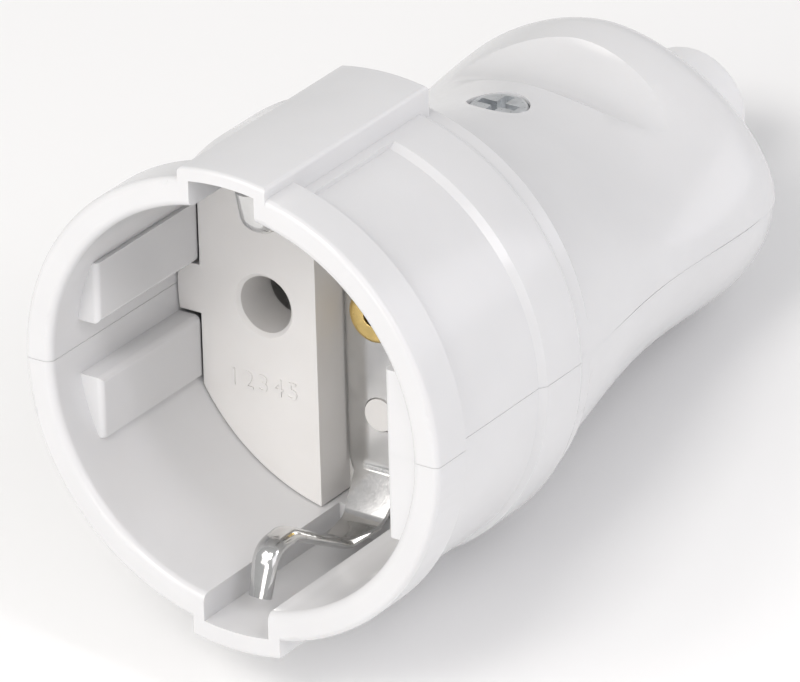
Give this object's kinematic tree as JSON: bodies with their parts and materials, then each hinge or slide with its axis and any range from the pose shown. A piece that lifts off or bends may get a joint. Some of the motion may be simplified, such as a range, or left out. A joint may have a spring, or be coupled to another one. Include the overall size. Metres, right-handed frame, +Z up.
{
  "type": "inline socket connector",
  "caption": "White inline mains coupler socket: round recessed cup with side earth clips and pin holes, keyed outside, and a moulded grip with a thumb hollow and a cable bush.",
  "frame": {"origin": "centre of the footprint, on the surface the connector lies on", "axes": "+Y towards the cable end, +Z up, +X to the right seen from the mouth"},
  "size_m": [0.0432, 0.0802, 0.051],
  "materials": {
    "housing_plastic": "white satin moulded plastic",
    "carrier_plastic": "warm white matt moulded plastic",
    "bush_plastic": "soft white matt plastic",
    "clamp_plastic": "light grey matt plastic",
    "nickel_plate": "nickel-plated spring metal",
    "brass": "bare drawn brass",
    "zinc_steel": "zinc-plated steel",
    "spring_steel": "blank spring steel"
  },
  "bodies": {
    "root": {"upper_shell": "housing_plastic", "lower_shell": "housing_plastic", "contact_carrier": "carrier_plastic", "neutral_contact_sleeve": "nickel_plate", "neutral_contact_spring": "spring_steel", "neutral_terminal": "brass", "neutral_terminal_screw": "zinc_steel", "line_contact_sleeve": "nickel_plate", "line_contact_spring": "spring_steel", "line_terminal": "brass", "line_terminal_screw": "zinc_steel", "earth_bracket": "nickel_plate", "earth_rivet": "brass", "earth_terminal": "brass", "earth_terminal_screw": "zinc_steel", "housing_screw": "zinc_steel", "housing_nut": "zinc_steel", "cord_clamp": "clamp_plastic", "cord_clamp_screws": "zinc_steel", "cable_bush": "bush_plastic"}
  },
  "joints": []
}
